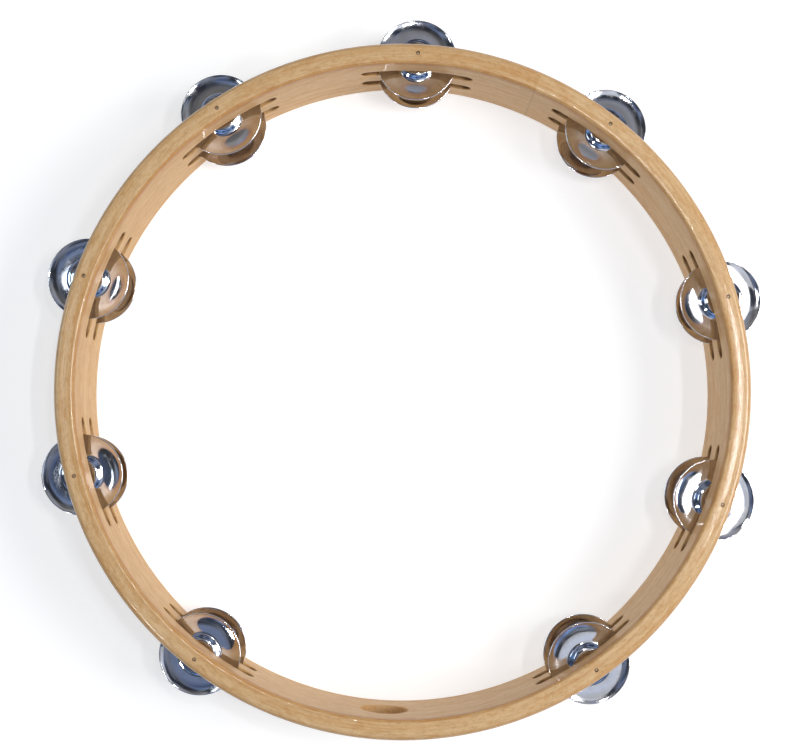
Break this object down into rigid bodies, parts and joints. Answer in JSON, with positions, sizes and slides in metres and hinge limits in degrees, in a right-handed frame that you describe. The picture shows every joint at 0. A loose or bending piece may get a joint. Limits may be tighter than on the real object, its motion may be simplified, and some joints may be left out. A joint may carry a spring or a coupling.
{
  "type": "tambourine",
  "caption": "Round headless tambourine: a bent wood hoop with pairs of loose metal jingles on steel pins in narrow slots, and a round finger hole.",
  "frame": {"origin": "on the hoop's axis, on the plane of its back edge, which it rests on", "axes": "+Z along the hoop's axis from its back edge to its front edge; -Y from the axis out through the middle of the finger hole"},
  "size_m": [0.2691, 0.2671, 0.045],
  "materials": {
    "hoop_wood": "gloss lacquer over pale bent wood",
    "inner_ply_wood": "gloss lacquer over pale veneer",
    "pin_steel": "dull steel",
    "jingle_nickel": "polished nickel plate"
  },
  "bodies": {
    "hoop": {"hoop_shell": "hoop_wood", "inner_ply": "inner_ply_wood", "pin_1": "pin_steel", "pin_2": "pin_steel", "pin_3": "pin_steel", "pin_4": "pin_steel", "pin_5": "pin_steel", "pin_6": "pin_steel", "pin_7": "pin_steel", "pin_8": "pin_steel", "pin_9": "pin_steel"},
    "front_jingle_1": {"front_jingle_1": "jingle_nickel"},
    "front_jingle_2": {"front_jingle_2": "jingle_nickel"},
    "front_jingle_3": {"front_jingle_3": "jingle_nickel"},
    "front_jingle_4": {"front_jingle_4": "jingle_nickel"},
    "front_jingle_5": {"front_jingle_5": "jingle_nickel"},
    "front_jingle_6": {"front_jingle_6": "jingle_nickel"},
    "front_jingle_7": {"front_jingle_7": "jingle_nickel"},
    "front_jingle_8": {"front_jingle_8": "jingle_nickel"},
    "front_jingle_9": {"front_jingle_9": "jingle_nickel"},
    "back_jingle_1": {"back_jingle_1": "jingle_nickel"},
    "back_jingle_2": {"back_jingle_2": "jingle_nickel"},
    "back_jingle_3": {"back_jingle_3": "jingle_nickel"},
    "back_jingle_4": {"back_jingle_4": "jingle_nickel"},
    "back_jingle_5": {"back_jingle_5": "jingle_nickel"},
    "back_jingle_6": {"back_jingle_6": "jingle_nickel"},
    "back_jingle_7": {"back_jingle_7": "jingle_nickel"},
    "back_jingle_8": {"back_jingle_8": "jingle_nickel"},
    "back_jingle_9": {"back_jingle_9": "jingle_nickel"}
  },
  "joints": [
    {"name": "front_jingle_1_slide", "type": "slide", "parent": "hoop", "child": "front_jingle_1", "axis": [0, 0, 1], "range_m": [0, 0.0042]},
    {"name": "front_jingle_2_slide", "type": "slide", "parent": "hoop", "child": "front_jingle_2", "axis": [0, 0, 1], "range_m": [0, 0.0042]},
    {"name": "front_jingle_3_slide", "type": "slide", "parent": "hoop", "child": "front_jingle_3", "axis": [0, 0, 1], "range_m": [0, 0.0042]},
    {"name": "front_jingle_4_slide", "type": "slide", "parent": "hoop", "child": "front_jingle_4", "axis": [0, 0, 1], "range_m": [0, 0.0042]},
    {"name": "front_jingle_5_slide", "type": "slide", "parent": "hoop", "child": "front_jingle_5", "axis": [0, 0, 1], "range_m": [0, 0.0042]},
    {"name": "front_jingle_6_slide", "type": "slide", "parent": "hoop", "child": "front_jingle_6", "axis": [0, 0, 1], "range_m": [0, 0.0042]},
    {"name": "front_jingle_7_slide", "type": "slide", "parent": "hoop", "child": "front_jingle_7", "axis": [0, 0, 1], "range_m": [0, 0.0042]},
    {"name": "front_jingle_8_slide", "type": "slide", "parent": "hoop", "child": "front_jingle_8", "axis": [0, 0, 1], "range_m": [0, 0.0042]},
    {"name": "front_jingle_9_slide", "type": "slide", "parent": "hoop", "child": "front_jingle_9", "axis": [0, 0, 1], "range_m": [0, 0.0042]},
    {"name": "back_jingle_1_slide", "type": "slide", "parent": "hoop", "child": "back_jingle_1", "axis": [0, 0, 1], "range_m": [0, 0.0042]},
    {"name": "back_jingle_2_slide", "type": "slide", "parent": "hoop", "child": "back_jingle_2", "axis": [0, 0, 1], "range_m": [0, 0.0042]},
    {"name": "back_jingle_3_slide", "type": "slide", "parent": "hoop", "child": "back_jingle_3", "axis": [0, 0, 1], "range_m": [0, 0.0042]},
    {"name": "back_jingle_4_slide", "type": "slide", "parent": "hoop", "child": "back_jingle_4", "axis": [0, 0, 1], "range_m": [0, 0.0042]},
    {"name": "back_jingle_5_slide", "type": "slide", "parent": "hoop", "child": "back_jingle_5", "axis": [0, 0, 1], "range_m": [0, 0.0042]},
    {"name": "back_jingle_6_slide", "type": "slide", "parent": "hoop", "child": "back_jingle_6", "axis": [0, 0, 1], "range_m": [0, 0.0042]},
    {"name": "back_jingle_7_slide", "type": "slide", "parent": "hoop", "child": "back_jingle_7", "axis": [0, 0, 1], "range_m": [0, 0.0042]},
    {"name": "back_jingle_8_slide", "type": "slide", "parent": "hoop", "child": "back_jingle_8", "axis": [0, 0, 1], "range_m": [0, 0.0042]},
    {"name": "back_jingle_9_slide", "type": "slide", "parent": "hoop", "child": "back_jingle_9", "axis": [0, 0, 1], "range_m": [0, 0.0042]}
  ]
}
